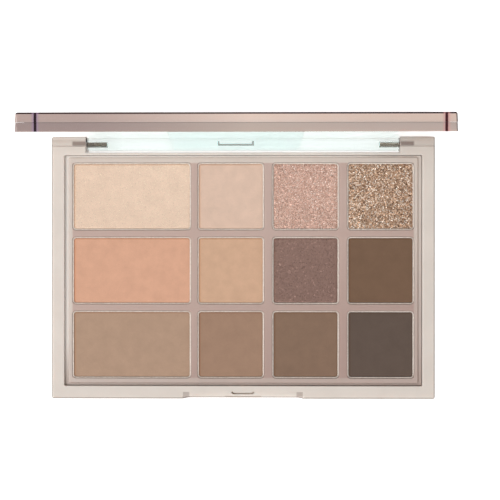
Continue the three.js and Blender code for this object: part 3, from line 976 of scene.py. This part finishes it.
def flake_material(name, tones):
    """Metallised film whose colour comes from each flake's stored tone."""
    material, tree, shader, place = new_finish(name, Metallic=FILM_METAL, Roughness=FILM_ROUGHNESS)
    tone = add(tree, "ShaderNodeAttribute", attribute_name="tone").outputs["Fac"]
    ramp = add(tree, "ShaderNodeValToRGB", {0: tone})
    stops = ramp.color_ramp.elements
    while len(stops) < len(tones):
        stops.new(0.5)
    for stop, (at, colour) in zip(stops, tones):
        stop.position, stop.color = at, linear(colour)
    grain = use_group(tree, GRAIN, Place=place, Size=0.08 * MM)
    share = between(tree, grain["Tone"], -0.8, 0.8, 0.0, 0.15)
    base = blend_colours(tree, share, ramp.outputs["Color"], linear("7d5c43"))
    rough = between(tree, grain["Tone"], -0.6, 0.6, FILM_ROUGHNESS - 0.08, FILM_ROUGHNESS + 0.1)
    tree.links.new(base, shader.inputs["Base Color"])
    tree.links.new(rough, shader.inputs["Roughness"])
    return material


def lay_flakes(shade, name, finish, per_mm2, radius, lean, seed):
    """Scatters flakes on a cake and keeps them as one plain mesh."""
    bed = cakes[shade]
    obj = bpy.data.objects.new(name, bed.data.copy())
    bpy.context.scene.collection.objects.link(obj)
    modifier = obj.modifiers.new("scatter", "NODES")
    modifier.node_group = SCATTER
    values = {
        "Density": per_mm2 / MM**2, "Radius": radius, "Lean": lean, "Lift": 0.5 * radius * lean,
        "Seed": seed, "Finish": finish,
    }
    for label, value in values.items():
        modifier[SCATTER_IDS[label]] = value
    bake_modifiers(obj)
    print(name, "flakes", len(obj.data.polygons))
    return keep(obj, "base", "powder_" + shade, finish)


GOLD_TONES = [(0.0, "4a3324"), (0.3, "8a694e"), (0.5, "c9a68a"), (0.75, "f0d6bf"), (0.96, "fff8ee")]
ROSE_TONES = [(0.0, "8a6254"), (0.3, "b8917f"), (0.7, "e6cbbd"), (0.94, "fff4ec")]
gold_film = flake_material("gold_film", GOLD_TONES)
rose_film = flake_material("rose_film", ROSE_TONES)
lay_flakes("gold_glitter", "gold_flakes", gold_film, per_mm2=14.0, radius=0.19 * MM, lean=0.6, seed=11)
lay_flakes("rose_glitter", "rose_flakes", rose_film, per_mm2=18.0, radius=0.12 * MM, lean=0.6, seed=23)

# %% [markdown]
# ## The hinge pins
#
# Each pin is a short length of drawn steel rod, half in a lug and half in the lid's barrel. It is
# turned here as a row of circles along the axis, with a small chamfer at both ends. Drawn steel
# has fine lines along its length, so its grain is stretched that way by a Mapping node.

# %% Turned pins
PIN_SIDES = 48
PIN_CHAMFER = 0.15 * MM
STEEL = grained_finish(
    "drawn_steel", ("9a8272", "c0a898"), 0.12 * MM, detail=0.7, rough=(0.24, 0.42),
    height=0.005 * MM, stretch=(0.05, 1.0, 1.0), Metallic=0.35, Roughness=0.35,
)


def make_pin(node):
    """A rod along X that fills the node's box, with chamfered ends."""
    low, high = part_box(node)
    centre = (low + high) / 2
    radius = (high.z - low.z) / 2
    stops = [
        (low.x, radius - PIN_CHAMFER),
        (low.x + PIN_CHAMFER, radius),
        (high.x - PIN_CHAMFER, radius),
        (high.x, radius - PIN_CHAMFER),
    ]
    bm = bmesh.new()
    rows = []
    for x, at_radius in stops:
        turns = [math.tau * i / PIN_SIDES for i in range(PIN_SIDES)]
        rows.append([
            bm.verts.new((x, centre.y + at_radius * math.cos(t), centre.z + at_radius * math.sin(t)))
            for t in turns
        ])
    for near, far in zip(rows, rows[1:]):
        for i in range(PIN_SIDES):
            j = (i + 1) % PIN_SIDES
            bm.faces.new((near[i], near[j], far[j], far[i]))
    bm.faces.new(rows[0])
    bm.faces.new(rows[-1])
    bmesh.ops.recalc_face_normals(bm, faces=bm.faces)
    return put_in_scene(bm, node.replace("hinge_pin", "steel_pin"))


for node in ("hinge_pin_left", "hinge_pin_right"):
    keep(make_pin(node), "base", "pin_steel", STEEL, node)

# %% [markdown]
# ## What is hidden: glue, tape and the label
#
# The glue under each pan, the foam tape behind the mirror and the paper label under the case are
# simple in shape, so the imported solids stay, and each gets its own finish: slightly cloudy glue,
# foam full of closed bubbles, and paper with short fibres.

# %% Glue, foam and paper
GLUE = grained_finish(
    "dried_glue", ("d9cfae", "efe8d2"), 1.5 * MM, span=0.5, height=0.05 * MM,
    Roughness=0.3, Subsurface_Weight=0.3, Subsurface_Scale=0.8 * MM, IOR=1.47,
)
PAPER = grained_finish(
    "label_paper", ("e9e3dc", "f6f2ed"), 0.3 * MM, span=0.5, detail=0.8, height=0.012 * MM,
    stretch=(0.35, 1.0, 1.0), Roughness=0.75,
)


def foam_material():
    material, tree, shader, place = new_finish("tape_foam", Roughness=0.85)
    bubbles = add(tree, "ShaderNodeTexVoronoi", {"Vector": place, "Scale": 1 / (0.22 * MM)}, feature="F1")
    wall = between(tree, bubbles.outputs["Distance"], 0.2, 0.6)
    base = blend_colours(tree, wall, linear("e2ddd3"), linear("f7f4ee"))
    tree.links.new(base, shader.inputs["Base Color"])
    bump(tree, shader, wall, 0.05 * MM)
    return material


def dress(nodes, material):
    """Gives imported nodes, kept as they are, a better finish."""
    for node in nodes:
        obj = frame["nodes"][node]
        obj.data.materials.clear()
        obj.data.materials.append(material)


glue_dots = sorted(n for n in frame["nodes"] if n.startswith("glue_dot"))
dress(glue_dots, GLUE)
dress(["mirror_tape"], foam_material())
dress(["base_label"], PAPER)
print("dressed", len(glue_dots) + 2, "hidden nodes")

# %% [markdown]
# ## The lid's own directions
#
# The lid's pieces are stored standing open, but their patterns follow the shut lid: along its
# front edge, round its rim, across its end lines. A Mapping node turns a piece's coordinates back
# to the shut lid, and one shared group reads them and puts out the masks that the cover and the
# frame both use.

# %% Coordinates and masks of the shut lid
def shut_span(node):
    """The lowest and highest corners of a lid node once the lid is shut."""
    points = [TO_SHUT @ vert.co for vert in frame["nodes"][node].data.vertices]
    low = Vector([min(p[i] for p in points) for i in range(3)])
    high = Vector([max(p[i] for p in points) for i in range(3)])
    return low, high


def shut_place(tree, place):
    """A piece's coordinates, turned about the hinge to where they are on the shut lid."""
    moved = TO_SHUT.to_translation()
    inputs = {"Vector": place, "Location": moved, "Rotation": (OPEN_ANGLE, 0, 0)}
    return add(tree, "ShaderNodeMapping", inputs).outputs[0]


lid_low, lid_high = shut_span("lid_cover")
print("shut lid mm", [round(v / MM, 2) for v in lid_low], [round(v / MM, 2) for v in lid_high])

# %% The masks of the lid's edge
LINE_LEFT_AT = case_low.x + 5.25 * MM
LINE_RIGHT_AT = case_high.x - 2.95 * MM
LINE_WIDTH = 0.6 * MM
LINE_FADE, GLOW_FADE = (0.15 * MM, 0.05 * MM), 0.8 * MM
LID_LEAN = 0.25 / 4.85
FRONT_BAND = (1.2 * MM, 0.5 * MM)
RIM_BAND = (0.48 * MM, 0.36 * MM)
END_BAND = (0.5 * MM, 0.25 * MM)


def lid_edge_group():
    """On the shut lid: its front wall, its outer rim, the way along it, and its two end lines."""
    tree, given, out = new_group(
        "lid_edge",
        {
            "Place": ("Vector", None),
            "Left At": ("Float", LINE_LEFT_AT),
            "Right At": ("Float", LINE_RIGHT_AT),
            "Line Width": ("Float", LINE_WIDTH),
        },
        {
            "Front": "Float", "Rim": "Float", "End": "Float", "Along": "Float",
            "Left": "Float", "Right": "Float", "Left Glow": "Float", "Right Glow": "Float",
        },
    )
    parts = add(tree, "ShaderNodeSeparateXYZ", {0: given["Place"]}).outputs
    front = between(tree, parts["Y"], *(lid_low.y + reach for reach in FRONT_BAND))
    rim = between(tree, parts["Z"], *(lid_high.z - reach for reach in RIM_BAND))
    above = calc(tree, "SUBTRACT", parts["Z"], lid_high.z)
    narrowest = lid_high.x - LID_LEAN * (lid_high.z - lid_low.z)
    end_at = calc(tree, "MULTIPLY_ADD", above, -LID_LEAN, narrowest)
    from_end = calc(tree, "SUBTRACT", end_at, parts["X"])
    tree.links.new(front, out["Front"])
    tree.links.new(calc(tree, "MULTIPLY", front, rim), out["Rim"])
    tree.links.new(calc(tree, "MULTIPLY", front, between(tree, from_end, *END_BAND)), out["End"])
    tree.links.new(between(tree, parts["X"], lid_low.x, lid_high.x), out["Along"])
    half = calc(tree, "MULTIPLY", given["Line Width"], 0.5)
    outer = calc(tree, "ADD", half, LINE_FADE[0])
    inner = calc(tree, "SUBTRACT", half, LINE_FADE[1])
    for name in ("Left", "Right"):
        away = calc(tree, "ABSOLUTE", calc(tree, "SUBTRACT", parts["X"], given[name + " At"]))
        line = between(tree, away, outer, inner)
        glow = between(tree, away, calc(tree, "ADD", outer, GLOW_FADE), inner)
        tree.links.new(calc(tree, "MULTIPLY", front, line), out[name])
        tree.links.new(calc(tree, "MULTIPLY", front, glow), out[name + " Glow"])
    return tree


LID_EDGE = lid_edge_group()
print("lid edge nodes", len(LID_EDGE.nodes))

# %% [markdown]
# ## The lid's tinted plastic
#
# Along its front edge the lid is deeper in colour than the case. Its front wall carries painted
# light, a gradient from mauve at the left to beige towards the right; its outer rim carries a dark
# line of painted shade, and its two end grooves painted shade in purple and dark red, with painted
# light as a paler glow beside them. Clear tinted volumes could give such tones, but masks put them
# in exact places. Like the case's painted light and shade, they stay the same in any light.

# %% Finishes for the cover and for the frame's ring
# Painted shade in the two end grooves, and painted light as a paler glow beside them.
LEFT_LINE_SHADE, LEFT_PAINTED_LIGHT = linear("2c0a20"), linear("a084a6")
RIGHT_LINE_SHADE, RIGHT_PAINTED_LIGHT = linear("4e121c"), linear("d69a98")
PAINTED_LIGHT_SHARE = 0.7
# Painted shade on the lid's rounded edges, its outer rim and the ends of its front wall.
LID_EDGE_SHADE, RIM_SHADE = linear("6f5b58"), linear("35191c")
END_SHADE, END_SHADE_SHARE = linear("3d3034"), 0.85
# Painted light along the front wall: darker mauve at the left end, lighter beige towards the right.
FRONT_LIGHT_STOPS = (0.05, 0.55, 1.0)


def lid_plastic(name, colour, front_light_colours, rim_shade_share):
    material, tree, shader, place, base = plastic(
        name, linear(colour), LID_EDGE_SHADE, roughness=0.25, edge_shade_share=0.7, turned=OPEN_ANGLE
    )
    masks = use_group(tree, LID_EDGE, Place=shut_place(tree, place))
    ramp = add(tree, "ShaderNodeValToRGB", {0: masks["Along"]})
    ramp.color_ramp.elements.new(0.5)
    for stop, at, tone in zip(ramp.color_ramp.elements, FRONT_LIGHT_STOPS, front_light_colours):
        stop.position, stop.color = at, linear(tone)
    # Painted light: the front wall's gradient along the lid.
    base = blend_colours(tree, masks["Front"], base, ramp.outputs["Color"])
    # Painted shade: a dark line on the outer rim and at the end of the front wall.
    base = painted(tree, base, masks["Rim"], rim_shade_share, RIM_SHADE)
    base = painted(tree, base, masks["End"], END_SHADE_SHARE, END_SHADE)
    # Painted light: a paler glow beside each end groove.
    base = painted(tree, base, masks["Left Glow"], PAINTED_LIGHT_SHARE, LEFT_PAINTED_LIGHT)
    base = painted(tree, base, masks["Right Glow"], PAINTED_LIGHT_SHARE, RIGHT_PAINTED_LIGHT)
    # Painted shade in the two end grooves.
    base = blend_colours(tree, masks["Left"], base, LEFT_LINE_SHADE)
    base = blend_colours(tree, masks["Right"], base, RIGHT_LINE_SHADE)
    tree.links.new(base, shader.inputs["Base Color"])
    return material


COVER_PLASTIC = lid_plastic("cover_plastic", "d6c5bb", ("bba59e", "e6cfc3", "d9c2b6"), 1.0)
RING_PLASTIC = lid_plastic("ring_plastic", "cfbcb2", ("a3908c", "c3b2a8", "bfaea6"), 0.0)
print("lid finishes", COVER_PLASTIC.name, RING_PLASTIC.name)

# %% [markdown]
# ## The lid cover and its clear frame
#
# The cover is the tinted outer shell. The frame under it is one clear moulding: a ring round the
# mirror, the hinge barrel with its leaf, and the flap that snaps under the case's lip. The ring
# lies against the tinted cover and takes its colour, so its faces get the tinted finish, and the
# barrel, the leaf and the flap get a clear one. The catch ridge on the flap gets a third finish,
# greyer and rougher, because clear on clear it would hardly show.

# %% Clear finishes
GLASSY = {"Transmission_Weight": 1.0, "IOR": 1.49, "Metallic": 0.0}
CLEAR_PLASTIC = grained_finish(
    "clear_plastic", ("f3fefc", "f8ffff"), 6 * MM, rough=(0.03, 0.06), Roughness=0.04, **GLASSY
)
RIDGE_PLASTIC = grained_finish(
    "ridge_plastic", ("6f7673", "9aa19e"), 0.3 * MM, rough=(0.25, 0.4), Roughness=0.3, **GLASSY
)
print("clear finishes", CLEAR_PLASTIC.name, RIDGE_PLASTIC.name)

# %% Lid cover and frame
SEAM_ROUND, COVER_ROUND, FRAME_ROUND = 0.03 * MM, 0.15 * MM, 0.08 * MM
RIDGE_HALF = 4.5 * MM
FLAP_INNER = 0.8 * MM
RING_FLOOR = CASE_TOP + 0.15 * MM


def in_groove(middle):
    """Whether a point lies in one of the two end grooves."""
    return min(abs(middle.x - LINE_LEFT_AT), abs(middle.x - LINE_RIGHT_AT)) < 0.6 * LINE_WIDTH


def cover_radius(middle):
    """Small rounds at the seam and in the end grooves, larger ones elsewhere."""
    on_seam = (TO_SHUT @ middle).z < lid_low.z + HAIR
    return SEAM_ROUND if on_seam or in_groove(middle) else COVER_ROUND


def frame_radius(middle):
    """Small rounds on the catch ridge, at the seam and in the end grooves, larger ones elsewhere."""
    shut = TO_SHUT @ middle
    on_ridge = abs(shut.x) < CATCH_HALF_WIDTH and shut.y < lid_low.y + CATCH_REACH
    on_seam = abs(shut.z - lid_low.z) < 2 * HAIR
    return SEAM_ROUND if on_ridge or on_seam or in_groove(middle) else FRAME_ROUND


cover = softened("lid_cover", "cover", cover_radius)
keep(cover, "lid", "tinted_plastic", COVER_PLASTIC, "lid_cover")
clear_frame = softened("lid_frame", "clear_frame", frame_radius)
keep(clear_frame, "lid", "clear_plastic", CLEAR_PLASTIC, "lid_frame")
clear_frame.data.materials.append(RING_PLASTIC)
clear_frame.data.materials.append(RIDGE_PLASTIC)


def frame_finish(face):
    """The frame's finishes by place on the shut lid: 0 clear, 1 against the cover, 2 the ridge."""
    shut = TO_SHUT @ face.center
    if shut.z > RING_FLOOR - HAIR:
        return 1
    on_flap = abs(shut.x) < RIDGE_HALF + HAIR and shut.y < lid_low.y + CATCH_REACH
    return 2 if on_flap and shut.y > lid_low.y + FLAP_INNER + 0.2 * HAIR else 0


for face in clear_frame.data.polygons:
    face.material_index = frame_finish(face)
counts = [sum(f.material_index == i for f in clear_frame.data.polygons) for i in range(3)]
print("frame faces: clear, tinted, ridge", counts)

# %% [markdown]
# ## The mirror
#
# The mirror is thin silvered glass with its edges ground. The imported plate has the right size, so
# it is copied and its edges rounded, and its finish is a bright metal with hardly any roughness.

# %% Mirror
MIRROR_ROUND = 0.12 * MM
MIRROR_SILVER = grained_finish(
    "mirror_silver", ("e4e9e9", "eff3f3"), 25 * MM, rough=(0.015, 0.03), Metallic=1.0, Roughness=0.02
)

mirror = softened("mirror", "mirror_plate", lambda middle: MIRROR_ROUND)
keep(mirror, "lid", "mirror_glass", MIRROR_SILVER, "mirror")
